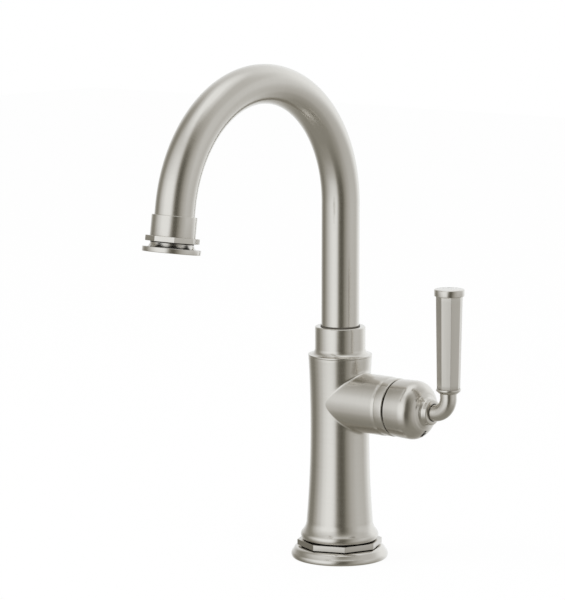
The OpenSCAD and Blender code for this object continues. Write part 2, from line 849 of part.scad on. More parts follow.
module lever_grip() {
    slice = 0.01;
    color(nickel)
    translate([lever_x, 0, lever_foot_z]) difference() {
        hull() {
            cylinder(r = grip_foot_r, h = slice, $fn = 8);
            translate([0, 0, grip_l - slice]) cylinder(r = grip_top_r, h = slice, $fn = 8);
        }
        translate([0, 0, -over]) cylinder(r = stud_grip_r + fixed_gap, h = 8.5 + over);
        translate([0, 0, grip_l - 6]) cylinder(r = stud_grip_r + fixed_gap, h = 6 + over);
    }
}

module lever_cap() {
    cap_r = grip_top_r + cap_over;
    edge = 0.7;
    color(nickel)
    translate([lever_x, 0, lever_foot_z + grip_l]) turned(concat(
        [[0, -5.5], [stud_grip_r, -5.5], [stud_grip_r, 0], [cap_r - 0.4, 0], [cap_r, 0.4]],
        arc([cap_r - edge, cap_h - edge], edge, 0, 90, 6),
        [[0, cap_h]]
    ));
}

base_flange();
base_gasket();
base_octagon_ring();
mounting_insert();
hot_supply_tube();
cold_supply_tube();
body_casting();
spout_collar();
thrust_washer();
collar_washer();
guide_bushing();
gooseneck_tube();
spout_stem();
spout_o_rings();
tip_sleeve();
tip_octagon_ring();
aerator_housing();
aerator_gasket();
aerator_screen();
aerator_insert();
bonnet_ring();
bonnet_nut();
cartridge_housing();
cartridge_base();
cartridge_seals();
fixed_disc();
limit_ring();
cartridge_rotor();
tilt_pin();
moving_disc();
disc_carrier();
cartridge_stem();
handle_hub();
hub_set_screw();
handle_elbow();
lever_bead();
lever_grip();
lever_cap();
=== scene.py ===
import math

import bmesh
import bpy
import numpy as np
from mathutils import Matrix, Vector
from mathutils.geometry import delaunay_2d_cdt


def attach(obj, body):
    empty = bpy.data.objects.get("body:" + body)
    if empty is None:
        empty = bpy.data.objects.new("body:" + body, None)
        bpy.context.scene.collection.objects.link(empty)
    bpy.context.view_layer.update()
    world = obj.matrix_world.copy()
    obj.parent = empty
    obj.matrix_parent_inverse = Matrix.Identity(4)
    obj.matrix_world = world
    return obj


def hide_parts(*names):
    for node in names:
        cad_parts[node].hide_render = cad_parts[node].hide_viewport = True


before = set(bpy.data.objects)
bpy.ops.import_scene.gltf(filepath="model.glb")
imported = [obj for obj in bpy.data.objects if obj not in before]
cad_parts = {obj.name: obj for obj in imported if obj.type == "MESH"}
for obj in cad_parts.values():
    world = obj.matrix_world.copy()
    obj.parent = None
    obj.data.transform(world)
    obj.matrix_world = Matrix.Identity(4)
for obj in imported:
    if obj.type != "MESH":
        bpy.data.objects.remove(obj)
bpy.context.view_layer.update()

# Sizes in the dictionaries are in millimetres and become metres when a mesh is made.
mm = 0.001
hair = 0.01  # a step too small to see, which keeps heights rising and tests off an edge

layout = {
    "handleZ": 107.2,  # height of the handle's axis
    "bodyTopZ": 137.0,
    "leverX": 89.5,  # the lever's axis
    "riserTopZ": 239.8,
    "bendRadius": 83.6,
    "bendAngle": 171.6,
}


# frames that the pieces are made in

# A place on the spout's middle line, past the end of the bend, with +Z down the tube
def tipFrame(along):
    turn = Matrix.Rotation(math.radians(layout["bendAngle"]), 4, "X")
    pivot = Matrix.Translation((0, -layout["bendRadius"], layout["riserTopZ"]))
    return pivot @ turn @ Matrix.Translation((0, layout["bendRadius"], along))


uprightFrame = Matrix.Identity(4)
handleFrame = Matrix.Translation((0, 0, layout["handleZ"])) @ Matrix.Rotation(math.pi / 2, 4, "Y")
leverFrame = Matrix.Translation((layout["leverX"], 0, 0))


# outlines

def arcPoints(centre, radius, start, end, steps):
    angles = [math.radians(start + (end - start) * i / steps) for i in range(steps + 1)]
    return [(centre[0] + radius * math.cos(a), centre[1] + radius * math.sin(a)) for a in angles]


# Radius of the arc that leaves a straight line and is off it by rise after length
def sweepRadius(length, rise):
    return (length * length + rise * rise) / (2 * rise)


# Each corner is (r, h) or (r, h, fillet). A fillet never takes more than half of an edge.
def softOutline(corners, steps=5, closed=True):
    leastTurn, edgeShare = 0.02, 0.49
    points = []
    count = len(corners)
    for i, corner in enumerate(corners):
        here = Vector(corner[:2])
        fillet = corner[2] if len(corner) > 2 else 0
        if fillet <= 0 or (not closed and i in (0, count - 1)):
            points.append(tuple(here))
            continue
        back = Vector(corners[i - 1][:2]) - here
        ahead = Vector(corners[(i + 1) % count][:2]) - here
        turn = math.pi - back.angle(ahead)
        if turn < leastTurn:
            points.append(tuple(here))
            continue
        reach = min(fillet * math.tan(turn / 2), edgeShare * back.length, edgeShare * ahead.length)
        radius = reach / math.tan(turn / 2)
        inward = (back.normalized() + ahead.normalized()).normalized()
        centre = here + inward * radius / math.cos(turn / 2)
        first = here + back.normalized() * reach - centre
        last = here + ahead.normalized() * reach - centre
        way = math.copysign(1, first.x * last.y - first.y * last.x)
        for step in range(steps + 1):
            a = way * turn * step / steps
            points.append((centre.x + first.x * math.cos(a) - first.y * math.sin(a),
                           centre.y + first.x * math.sin(a) + first.y * math.cos(a)))
    return points


# meshes

def addObject(name, data, place=None, facing=None):
    thing = bpy.data.objects.new(name, data)
    if place is not None:
        thing.location = place
        thing.rotation_mode = "QUATERNION"
        thing.rotation_quaternion = facing.to_track_quat("-Z", "Y")
    bpy.context.scene.collection.objects.link(thing)
    return thing


def smoothMesh(mesh, sharpAngle):
    mesh.shade_smooth()
    mesh.set_sharp_from_angle(angle=math.radians(sharpAngle))


def finishMesh(name, builder, material, place=uprightFrame, sharpAngle=32):
    weldDistance, leastEdge = 0.0004, 0.0001
    bmesh.ops.remove_doubles(builder, verts=builder.verts, dist=weldDistance)
    bmesh.ops.dissolve_degenerate(builder, edges=builder.edges, dist=leastEdge)
    bmesh.ops.recalc_face_normals(builder, faces=builder.faces)
    mesh = bpy.data.meshes.new(name)
    builder.to_mesh(mesh)
    builder.free()
    mesh.transform(Matrix.Diagonal((mm, mm, mm, 1)) @ place)
    smoothMesh(mesh, sharpAngle)
    for item in material if isinstance(material, list) else [material]:
        mesh.materials.append(item)
    return addObject(name, mesh)


# Every piece made here is nickel and stands for one CAD node.
def fitted(piece, bodyName, nodeName):
    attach(piece, bodyName)
    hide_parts(nodeName)
    print("made", piece.name, len(piece.data.polygons), "faces")


# Faces between rows of equally many corners. Where a row is one pole repeated, they are triangles.
def bridgeRows(builder, rows, closed=False):
    faces = []
    for low, high in zip(rows, rows[1:] + rows[:1] if closed else rows[1:]):
        for j in range(len(low)):
            k = (j + 1) % len(low)
            corners = list(dict.fromkeys((low[j], low[k], high[k], high[j])))
            if len(corners) > 2:
                faces.append(builder.faces.new(corners))
    return faces


# Turns an outline of (r, h) points round the Z axis. A point with r = 0 becomes a pole.
def turnRows(builder, outline, segments, closed=True):
    angles = [2 * math.pi * j / segments for j in range(segments)]
    rows = []
    for r, h in outline:
        if r < 1e-6:
            rows.append([builder.verts.new((0, 0, h))] * segments)
        else:
            rows.append([builder.verts.new((r * math.cos(a), r * math.sin(a), h)) for a in angles])
    bridgeRows(builder, rows, closed)


# Paints shade into a joint: faces above a height and from radius low to high take the second material, a dark
# one that stands in for the shade deep in the joint.
def paintJointShade(builder, height, low, high):
    for face in builder.faces:
        centre = face.calc_center_median()
        if centre.z > height and low < math.hypot(centre.x, centre.y) < high:
            face.material_index = 1


def turnedPiece(name, outline, material, place=uprightFrame, segments=160, shadow=None):
    builder = bmesh.new()
    turnRows(builder, outline, segments)
    if shadow:
        paintJointShade(builder, *shadow)
    return finishMesh(name, builder, material, place)


# An octagon's outline pulled in by inset, with its corners rounded
def octagonOutline(cornerRadius, inset, fillet, steps=4):
    radius = cornerRadius - inset / math.cos(math.pi / 8)
    turns = [i * math.pi / 4 for i in range(8)]
    return softOutline([(radius * math.cos(a), radius * math.sin(a), fillet) for a in turns], steps)


def octagonRingPiece(name, size, material, place, shadow=None):
    builder = bmesh.new()
    edge, height = size["edge"], size["height"]
    quarter = np.linspace(0, math.pi / 2, 5)
    levels = [(edge * (1 - math.sin(a)), edge * (1 - math.cos(a))) for a in quarter]
    rows = []
    for inset, z in levels + [(inset, height - z) for inset, z in reversed(levels)]:
        outline = octagonOutline(size["corner"], inset, size["fillet"])
        rows.append([builder.verts.new((x, y, z)) for x, y in outline])
    for z in (height, 0):
        spokes = [v.co.xy.normalized() * size["bore"] for v in rows[0]]
        rows.append([builder.verts.new((x, y, z)) for x, y in spokes])
    bridgeRows(builder, rows, closed=True)
    if shadow:
        paintJointShade(builder, *shadow)
    return finishMesh(name, builder, material, place, sharpAngle=28)


# Adds a turned surface with one hole in it, with the surface's axis along Z. The outline's rows are
# (r, h) with h rising, the hole is a loop of (angle, h), and grid points keep clearance from it.
def turnedWithHole(builder, outline, hole, segments, clearance):
    radii = np.array([p[0] for p in outline], float)
    heights = np.array([p[1] for p in outline], float)
    along = np.concatenate([[0], np.cumsum(np.hypot(np.diff(radii), np.diff(heights)))])
    meanRadius = float(radii.mean())
    angles = [-math.pi + 2 * math.pi * j / segments for j in range(segments + 1)]
    loop = [(a * meanRadius, float(np.interp(h, heights, along))) for a, h in hole]
    loopArray = np.array(loop)
    low, high = loopArray.min(0) - clearance, loopArray.max(0) + clearance

    def nearHole(x, y):
        return np.min(np.hypot(loopArray[:, 0] - x, loopArray[:, 1] - y)) < clearance

    def insideHole(x, y):
        inside = False
        for (x0, y0), (x1, y1) in zip(loop[-1:] + loop[:-1], loop):
            if (y0 > y) != (y1 > y) and x < (x1 - x0) * (y - y0) / (y1 - y0) + x0:
                inside = not inside
        return inside

    def inReach(x, y):
        return low[0] < x < high[0] and low[1] < y < high[1]

    points = []
    for y in along:
        for a in angles:
            x = a * meanRadius
            if not (inReach(x, y) and (nearHole(x, y) or insideHole(x, y))):
                points.append(Vector((x, y)))
    first = len(points)
    points += [Vector(p) for p in loop]
    edges = [(first + i, first + (i + 1) % len(loop)) for i in range(len(loop))]
    flatPoints, _, faces, _, _, _ = delaunay_2d_cdt(points, edges, [], 0, 1e-6)
    verts = []
    for p in flatPoints:
        r, h = (float(np.interp(p.y, along, values)) for values in (radii, heights))
        a = p.x / meanRadius
        verts.append(builder.verts.new((r * math.cos(a), r * math.sin(a), h)))
    for face in faces:
        x, y = sum((flatPoints[i] for i in face), Vector((0, 0))) / len(face)
        if not (inReach(x, y) and insideHole(x, y)):
            builder.faces.new([verts[i] for i in face])


# nodes

def feed(tree, value, socket):
    if isinstance(value, bpy.types.NodeSocket):
        tree.links.new(value, socket)
    elif value is not None:
        socket.default_value = value


# A node with its settings, and its inputs fed by name or by place
def newNode(tree, kind, inputs=None, **settings):
    node = tree.nodes.new(kind)
    for key, value in settings.items():
        setattr(node, key, value)
    for label, value in (inputs or {}).items():
        feed(tree, value, node.inputs[label])
    return node


def mathNode(tree, operation, *values):
    return newNode(tree, "ShaderNodeMath", dict(enumerate(values)), operation=operation).outputs[0]


def mixNode(tree, kind, factor, a, b):
    inputs = {0: factor, 6: a, 7: b}
    return newNode(tree, "ShaderNodeMix", inputs, data_type="RGBA", blend_type=kind).outputs[2]


def splitVector(tree, vector):
    return newNode(tree, "ShaderNodeSeparateXYZ", {0: vector}).outputs


def joinVector(tree, *parts):
    return newNode(tree, "ShaderNodeCombineXYZ", dict(enumerate(parts))).outputs[0]


# A node group. Its inputs are (label, kind, value) and its outputs (label, kind).
def newGroup(name, inputs, outputs, kind="ShaderNodeTree"):
    group = bpy.data.node_groups.new(name, kind)
    face = group.interface
    for label, socketKind, value in inputs:
        socket = face.new_socket(name=label, in_out="INPUT", socket_type="NodeSocket" + socketKind)
        if value is not None:
            socket.default_value = value
    for label, socketKind in outputs:
        face.new_socket(name=label, in_out="OUTPUT", socket_type="NodeSocket" + socketKind)
    return group, group.nodes.new("NodeGroupInput").outputs, group.nodes.new("NodeGroupOutput").inputs


# shader groups

grainOutputs = [("Color", "Color"), ("Roughness", "Float"), ("Normal", "Vector")]
brushing = {
    "fineScale": 3.1, "coarseScale": 0.7, "detail": 2.0, "breakUp": 0.6, "coarseShare": 0.15,
    "roughnessSpread": 0.12, "streakGain": 4.0, "streakTint": (0.80, 0.78, 0.74, 1),
}


# Fine grooves that run round an axis. Groove holds the two lengths that they vary along and a slow third one.
def buildBrushedGrain():
    tree, given, result = newGroup("brushedGrain", [
        ("Groove", "Vector", None), ("Turn", "Float", 0.0), ("Base", "Color", (0.7, 0.7, 0.7, 1)),
        ("Roughness", "Float", 0.25), ("Depth", "Float", 0.00008), ("Mottle", "Float", 0.05),
    ], grainOutputs)

    def grooves(scale):
        return newNode(tree, "ShaderNodeTexNoise", {
            "Vector": given["Groove"], "W": given["Turn"], "Scale": scale, "Detail": brushing["detail"],
            "Roughness": brushing["breakUp"],
        }, noise_dimensions="4D").outputs["Fac"]

    fine, coarse = grooves(brushing["fineScale"]), grooves(brushing["coarseScale"])
    height = mathNode(tree, "MULTIPLY_ADD", coarse, brushing["coarseShare"], fine)
    bump = newNode(tree, "ShaderNodeBump", {"Distance": given["Depth"], "Height": height})
    spread = mathNode(tree, "SUBTRACT", coarse, 0.5)
    roughness = mathNode(tree, "MULTIPLY_ADD", spread, brushing["roughnessSpread"], given["Roughness"])
    streak = mathNode(tree, "MULTIPLY", mathNode(tree, "ABSOLUTE", spread), brushing["streakGain"])
    mottle = mathNode(tree, "MULTIPLY", streak, given["Mottle"])
    feed(tree, mixNode(tree, "MULTIPLY", mottle, given["Base"], brushing["streakTint"]), result["Color"])
    feed(tree, roughness, result["Roughness"])
    feed(tree, bump.outputs["Normal"], result["Normal"])
    return tree


# Turns object coordinates into grooves round the Z axis of the mapped frame, in millimetres.
def buildTurnedCoordinates():
    tree, given, result = newGroup(
        "turnedCoordinates", [("Vector", "Vector", None), ("Waver", "Float", 0.5)],
        [("Groove", "Vector"), ("Turn", "Float")],
    )
    x, y, z = splitVector(tree, given["Vector"])
    squares = mathNode(tree, "ADD", mathNode(tree, "MULTIPLY", x, x), mathNode(tree, "MULTIPLY", y, y))
    radius = mathNode(tree, "SQRT", squares)
    safeRadius = mathNode(tree, "MAXIMUM", radius, 0.00001)
    cosine, sine = (mathNode(tree, "MULTIPLY", mathNode(tree, "DIVIDE", part, safeRadius), given["Waver"])
                    for part in (x, y))
    radiusInMm, heightInMm = (mathNode(tree, "MULTIPLY", length, 1 / mm) for length in (radius, z))
    feed(tree, joinVector(tree, radiusInMm, heightInMm, cosine), result["Groove"])
    feed(tree, sine, result["Turn"])
    return tree


# Even small-scale unevenness of castings, mouldings and rubber
def buildSurfaceGrain():
    tree, given, result = newGroup("surfaceGrain", [
        ("Vector", "Vector", None), ("Base", "Color", (0.5, 0.5, 0.5, 1)),
        ("Tint", "Color", (0.4, 0.4, 0.4, 1)), ("Scale", "Float", 900.0), ("Roughness", "Float", 0.5),
        ("Variation", "Float", 0.15), ("Depth", "Float", 0.00002),
    ], grainOutputs)
    inputs = {"Vector": given["Vector"], "Scale": given["Scale"], "Detail": 4.0}
    noise = newNode(tree, "ShaderNodeTexNoise", inputs).outputs["Fac"]
    feed(tree, mixNode(tree, "MIX", noise, given["Base"], given["Tint"]), result["Color"])
    varied = mathNode(tree, "MULTIPLY", mathNode(tree, "SUBTRACT", noise, 0.5), given["Variation"])
    feed(tree, mathNode(tree, "ADD", varied, given["Roughness"]), result["Roughness"])
    bump = newNode(tree, "ShaderNodeBump", {"Distance": given["Depth"], "Height": noise})
    feed(tree, bump.outputs["Normal"], result["Normal"])
    return tree


brushedGrain = buildBrushedGrain()
turnedCoordinates = buildTurnedCoordinates()
surfaceGrain = buildSurfaceGrain()


# materials

def groupNode(tree, group, inputs):
    return newNode(tree, "ShaderNodeGroup", inputs, node_tree=group)


# A material that takes its surface from a grain group. The coordinates are a function of the node tree.
def grainMaterial(name, metallic, group, coordinates, finish):
    material = bpy.data.materials.new(name)
    material.use_nodes = True
    tree = material.node_tree
    grain = groupNode(tree, group, {**coordinates(tree), **finish}).outputs
    shader = tree.nodes["Principled BSDF"].inputs
    shader["Metallic"].default_value = metallic
    for label, target in (("Color", "Base Color"), ("Roughness", "Roughness"), ("Normal", "Normal")):
        tree.links.new(grain[label], shader[target])
    return material


def objectPlace(tree):
    return newNode(tree, "ShaderNodeTexCoord").outputs["Object"]


# Brushed round an axis: place is the frame whose Z is that axis
def roundGrooves(place):
    inverse = place.inverted()

    def coordinates(tree):
        mapped = newNode(tree, "ShaderNodeMapping", {
            "Vector": objectPlace(tree), "Location": inverse.to_translation() * mm,
            "Rotation": inverse.to_euler(),
        }).outputs["Vector"]
        rings = groupNode(tree, turnedCoordinates, {"Vector": mapped}).outputs
        return {"Groove": rings["Groove"], "Turn": rings["Turn"]}
    return coordinates


# Brushed round a bent rod: the piece's own attribute holds the length along it in millimetres
def rodGrooves(tree):
    perMetre = 30.0  # how fast the grooves waver across the rod
    along = newNode(tree, "ShaderNodeAttribute", attribute_name="alongTube").outputs["Fac"]
    x, y, _ = splitVector(tree, objectPlace(tree))
    groove = joinVector(tree, along, None, mathNode(tree, "MULTIPLY", x, perMetre))
    return {"Groove": groove, "Turn": mathNode(tree, "MULTIPLY", y, perMetre)}


# Brushed lengthwise on flat facets: the grooves run along Z
def facetGrooves(tree):
    scale, waver = (1000.0, 1000.0, 25.0), 0.5
    inputs = {"Vector": objectPlace(tree), "Scale": scale}
    groove = newNode(tree, "ShaderNodeMapping", inputs).outputs["Vector"]
    return {"Groove": groove, "Turn": mathNode(tree, "MULTIPLY", splitVector(tree, groove)[2], waver)}


nickelFinish = {"Base": (0.745, 0.72, 0.675, 1), "Roughness": 0.17, "Depth": 0.00003, "Mottle": 0.10}


def nickelMaterial(name, coordinates, **changes):
    return grainMaterial("nickelBrushed" + name, 1.0, brushedGrain, coordinates, {**nickelFinish, **changes})


# metallic, base colour and tint, scale of the grain, roughness and its variation, depth in metres
plainLooks = {
    "brass": (1.0, (0.83, 0.67, 0.36), (0.74, 0.58, 0.30), 500.0, 0.30, 0.2, 0.00003),
    "copper": (1.0, (0.85, 0.50, 0.34), (0.72, 0.40, 0.26), 400.0, 0.28, 0.2, 0.00002),
    "steel": (1.0, (0.60, 0.60, 0.60), (0.50, 0.50, 0.50), 1200.0, 0.32, 0.2, 0.00002),
    "rubber": (0.0, (0.030, 0.030, 0.032), (0.045, 0.045, 0.046), 1500.0, 0.75, 0.2, 0.00005),
    "whitePlastic": (0.0, (0.80, 0.80, 0.78), (0.75, 0.75, 0.72), 900.0, 0.42, 0.1, 0.00001),
    "wiperPlastic": (0.0, (0.115, 0.103, 0.085), (0.095, 0.085, 0.070), 900.0, 0.50, 0.15, 0.00002),
    "redPlastic": (0.0, (0.52, 0.05, 0.035), (0.46, 0.045, 0.03), 900.0, 0.40, 0.1, 0.00001),
    "jointShadow": (0.0, (0.022, 0.020, 0.017), (0.034, 0.031, 0.027), 1200.0, 0.80, 0.1, 0.00002),
    "ceramic": (0.0, (0.86, 0.85, 0.81), (0.83, 0.82, 0.78), 700.0, 0.16, 0.05, 0.000004),
}


def plainMaterial(name):
    metallic, base, tint, scale, roughness, variation, depth = plainLooks[name]
    return grainMaterial(name, metallic, surfaceGrain, lambda tree: {"Vector": objectPlace(tree)}, {
        "Base": base + (1,), "Tint": tint + (1,), "Scale": scale, "Roughness": roughness,
        "Variation": variation, "Depth": depth,
    })


plain = {name: plainMaterial(name) for name in plainLooks}
nickelZ = nickelMaterial("Upright", roundGrooves(uprightFrame))
nickelX = nickelMaterial("Handle", roundGrooves(handleFrame))
nickelTip = nickelMaterial("Tip", roundGrooves(tipFrame(0)))
nickelLever = nickelMaterial("Lever", roundGrooves(leverFrame))
nickelTube = nickelMaterial("Tube", rodGrooves)
nickelFacet = nickelMaterial("Facets", facetGrooves, Base=(0.72, 0.695, 0.65, 1), Roughness=0.36)
nickelRing = nickelMaterial("Ring", roundGrooves(uprightFrame), Base=(0.61, 0.585, 0.54, 1))
print("materials ready")


# base: an ogee flange with the gasket's groove underneath, and the octagon ring on it

baseOctagon = {"corner": 28.7, "height": 3.8, "bore": 21.0, "edge": 0.28, "fillet": 0.35}
flange = {
    "radius": 32.6, "height": 8.2, "bore": 21.0, "footEdge": 0.4, "rimHeight": 4.5, "rimRound": 1.3,
    "rimMiddle": 0.42,  # where the rim is widest, as a share of its height
    "seatMargin": 0.7, "seatLip": 0.5, "shadowGap": 0.6, "gapDepth": 3.5,
    "gasketOut": 29.4, "gasketIn": 24.2, "gasketDepth": 1.3, "grooveEdge": 0.15,
    "rimSteps": 16, "shoulderSteps": 14, "hollowSteps": 5,
}


def flangePiece():
    f = flange
    flat = baseOctagon["corner"] * math.cos(math.pi / 8)
    seat, seatZ = flat + f["seatMargin"], f["height"] - f["shadowGap"]
    middle = f["rimMiddle"] * f["rimHeight"]
    rimArc = sweepRadius(f["rimHeight"] - middle, f["rimRound"])
    low = math.degrees(math.asin(middle / rimArc))
    high = math.degrees(math.asin((f["rimHeight"] - middle) / rimArc))
    run = f["radius"] - f["rimRound"] - seat
    slope = sweepRadius(run, seatZ - f["rimHeight"])
    slopeTurn = math.degrees(math.asin(run / slope))
    rim = arcPoints((f["radius"] - rimArc, middle), rimArc, -low, high, f["rimSteps"])
    shoulder = arcPoints((seat, seatZ - slope), slope, 90 - slopeTurn, 90, f["shoulderSteps"])
    outline = softOutline([
        (f["bore"], 0), (f["gasketIn"], 0, f["grooveEdge"]), (f["gasketIn"], f["gasketDepth"]),
        (f["gasketOut"], f["gasketDepth"]), (f["gasketOut"], 0, f["grooveEdge"]),
        (rim[0][0], 0, f["footEdge"]), rim[2],
    ], closed=False)
    # a soft hollow where the ogee's two arcs meet
    hollow = f["hollowSteps"]
    first, corner, last = Vector(rim[-hollow]), Vector(rim[-1]), Vector(shoulder[hollow])
    outline += rim[3:1 - hollow]
    outline += [tuple(first.lerp(corner, t).lerp(corner.lerp(last, t), t)) for t in np.linspace(0.1, 0.9, 9)]
    outline += shoulder[hollow:]
    gap = flat - f["gapDepth"]
    outline += [(flat - f["seatLip"], seatZ), (gap, seatZ), (gap, f["height"]), (f["bore"], f["height"])]
    # painted shade in the gap under the octagon ring
    shadow = (seatZ - hair, gap - hair, flat - f["seatLip"])
    return turnedPiece("baseFlange", outline, [nickelZ, plain["jointShadow"]], shadow=shadow)


def baseOctagonPiece():
    place = Matrix.Translation((0, 0, flange["height"]))
    return octagonRingPiece("baseOctagon", baseOctagon, nickelRing, place)


fitted(flangePiece(), "faucet_base", "base_flange")
fitted(baseOctagonPiece(), "faucet_base", "base_octagon_ring")

# body: a waisted column with a side branch and a small fillet where they meet

column = {
    "foot": 12.0, "footRadius": 26.2, "footHeight": 5.6, "footBulge": 1.0, "shadowGap": 0.6, "gapDepth": 3.2,
    "gapDraft": 0.05, "gapLip": 0.6, "lipRise": 0.02, "neckRadius": 22.3, "coveHeight": 7.8,
    "waistRadius": 19.8, "waistZ": 87.0, "shoulderRadius": 21.3, "topEdge": 0.4,
    "segments": 192, "arcSteps": 12, "flareSteps": 30,
    # openings as (r, z), from the column's end to the closed end
    "topSocket": [
        (20.5, layout["bodyTopZ"]), (16.2, layout["bodyTopZ"]), (16.2, 132.0), (9.4, 132.0), (9.4, 123.8),
        (0, 123.8),
    ],
    "footSocket": [
        (20.9, 12.0), (20.9, 2.1), (18.0, 2.1), (18.0, 12.0), (17.0, 12.0), (17.0, 88.0), (0, 88.0),
    ],
}
branch = {
    "radius": 19.8, "start": 26.0, "end": 42.5, "taper": 0.35, "taperLength": 2.2, "taperFillet": 6.0,
    "edge": 0.25, "fillet": 2.0, "filletSteps": 6, "holeMargin": 0.9,
    "spigotRadius": 16.9, "spigotEnd": 47.6, "spigotMouth": 15.6,
    "socket": [(15.6, 40.5), (14.1, 40.3), (14.1, 8.0), (0, 8.0)],  # the cartridge's bore as (r, x)
}


def columnOutline():
    c = column
    ridge, footTop = c["footRadius"] - c["footBulge"], c["foot"] + c["footHeight"]
    neckZ = footTop + c["coveHeight"]
    coveRadius = sweepRadius(c["coveHeight"], ridge - c["neckRadius"])
    coveAngle = math.degrees(math.asin(c["coveHeight"] / coveRadius))
    half = (c["footHeight"] - c["shadowGap"]) / 2
    bulgeRadius = sweepRadius(half, c["footBulge"])
    bulgeAngle = math.degrees(math.asin(half / bulgeRadius))
    edge, steps = c["topEdge"], c["arcSteps"]
    top = layout["bodyTopZ"] - edge

    def flare(foot, rise):
        radius = sweepRadius(abs(rise), foot - c["waistRadius"])
        return [(c["waistRadius"] + radius - math.sqrt(radius ** 2 - (rise * t) ** 2), c["waistZ"] + rise * t)
                for t in np.linspace(0, 1, c["flareSteps"])]

    footBottom, gap = footTop - 2 * half, ridge - c["gapDepth"]
    outline = [(gap, c["foot"]), (gap + c["gapDraft"], footBottom)]
    outline += [(ridge - c["gapLip"], footBottom + c["lipRise"])]
    bulgeCentre = (c["footRadius"] - bulgeRadius, footTop - half)
    outline += arcPoints(bulgeCentre, bulgeRadius, -bulgeAngle, bulgeAngle, steps)[1:]
    outline += arcPoints((c["neckRadius"] + coveRadius, neckZ), coveRadius, 180 + coveAngle, 180, steps)
    outline += flare(c["neckRadius"], neckZ - c["waistZ"])[-2::-1]
    outline += flare(c["shoulderRadius"], top - c["waistZ"])[1:]
    outline += arcPoints((c["shoulderRadius"] - edge, top), edge, 8, 88, 5)
    return [p for i, p in enumerate(outline) if i == 0 or p[1] > outline[i - 1][1] + 1e-6]


def bodyPiece():
    b, outline, handleZ = branch, columnOutline(), layout["handleZ"]
    radii, heights = [p[0] for p in outline], [p[1] for p in outline]
    count, fillet, radius, steps = column["segments"], b["fillet"], b["radius"], b["filletSteps"]
    turns = [2 * math.pi * i / count for i in range(count)]
    onBranch, arcs, onColumn = [], [], []
    for theta in turns:
        y, z = (radius + fillet) * math.sin(theta), handleZ + (radius + fillet) * math.cos(theta)
        columnRadius = float(np.interp(z, heights, radii))
        x = math.sqrt((columnRadius + fillet) ** 2 - y * y)
        centre = Vector((x, y, z))
        start = Vector((x, radius * math.sin(theta), handleZ + radius * math.cos(theta)))
        end = Vector((x, y, 0)) * (columnRadius / (columnRadius + fillet)) + Vector((0, 0, z))
        onBranch.append(start)
        onColumn.append(end)
        first, last = (start - centre).normalized(), (end - centre).normalized()
        arcs.append([centre + first.slerp(last, t) * fillet for t in np.linspace(0, 1, steps + 1)])
    builder = bmesh.new()
    hole = [(math.atan2(p.y, p.x), p.z) for p in onColumn]
    turnedWithHole(builder, outline, hole, count, b["holeMargin"])
    # painted shade: the gap under the foot's lip takes the dark third material
    for face in builder.faces:
        if face.calc_center_median().z < outline[2][1]:
            face.material_index = 2
    rows = [[builder.verts.new(arc[step]) for arc in arcs] for step in range(steps, -1, -1)]
    for share in (0.2, 0.4, 0.6, 0.8):
        rows.append([builder.verts.new(p.lerp(Vector((b["start"], p.y, p.z)), share)) for p in onBranch])
    branchOutline = softOutline([
        (radius, b["start"]), (radius, b["end"] - b["taperLength"], b["taperFillet"]),
        (radius - b["taper"], b["end"], b["edge"]), (b["spigotRadius"], b["end"]),
        (b["spigotRadius"], b["spigotEnd"], 0.3), (b["spigotMouth"], b["spigotEnd"], 0.2), *b["socket"],
    ], closed=False)
    for r, x in branchOutline[:-1]:
        rows.append([builder.verts.new((x, r * math.sin(a), handleZ + r * math.cos(a))) for a in turns])
    for face in bridgeRows(builder, rows) + [builder.faces.new(rows[-1])]:
        face.material_index = 1
    turnRows(builder, [outline[-1], *column["topSocket"]], count, closed=False)
    turnRows(builder, [outline[0], *column["footSocket"]], count, closed=False)
    return finishMesh("faucetBody", builder, [nickelZ, nickelX, plain["jointShadow"]])


fitted(bodyPiece(), "faucet_base", "body_casting")

# spout collar

collar = {
    "radius": 16.9, "height": 20.0, "cove": 4.0, "coveTurn": 87, "footOver": 0.5, "footEdge": 1.2,
    "edge": 0.9, "plugFoot": 132.1, "plugRadius": 16.1, "plugBore": 14.7, "bore": 14.0, "boreFoot": 137.05,
    "mouth": 13.2, "mouthDepth": 0.9, "rimFlat": 15.2,
}


def collarPiece():
    c, foot = collar, layout["bodyTopZ"]
    coveFoot, coveRadius, top = foot + c["footEdge"], c["radius"] + c["cove"], foot + c["height"]
    out, mouthFoot = coveRadius + c["footOver"], top - c["mouthDepth"]
    outline = softOutline([
        (c["plugBore"], c["plugFoot"]), (c["plugRadius"], c["plugFoot"]), (c["plugRadius"], foot),
        (out, foot, 0.3), (out, coveFoot, 0.25), (coveRadius - 0.1, coveFoot),
    ], closed=False)
    outline += arcPoints((coveRadius, coveFoot + c["cove"]), c["cove"], 180 + c["coveTurn"], 180, 14)
    outline += arcPoints((c["radius"] - c["edge"], top - c["edge"]), c["edge"], 0, 90, 8)
    outline += softOutline([
        (c["rimFlat"], top), (c["mouth"], top, 0.25), (c["mouth"], mouthFoot), (c["bore"], mouthFoot),
        (c["bore"], c["boreFoot"]), (c["plugBore"], c["boreFoot"]),
    ], closed=False)
    return turnedPiece("spoutCollar", outline, nickelZ)


fitted(collarPiece(), "faucet_base", "spout_collar")


# gooseneck and bent rod: one Geometry Nodes tree sweeps both

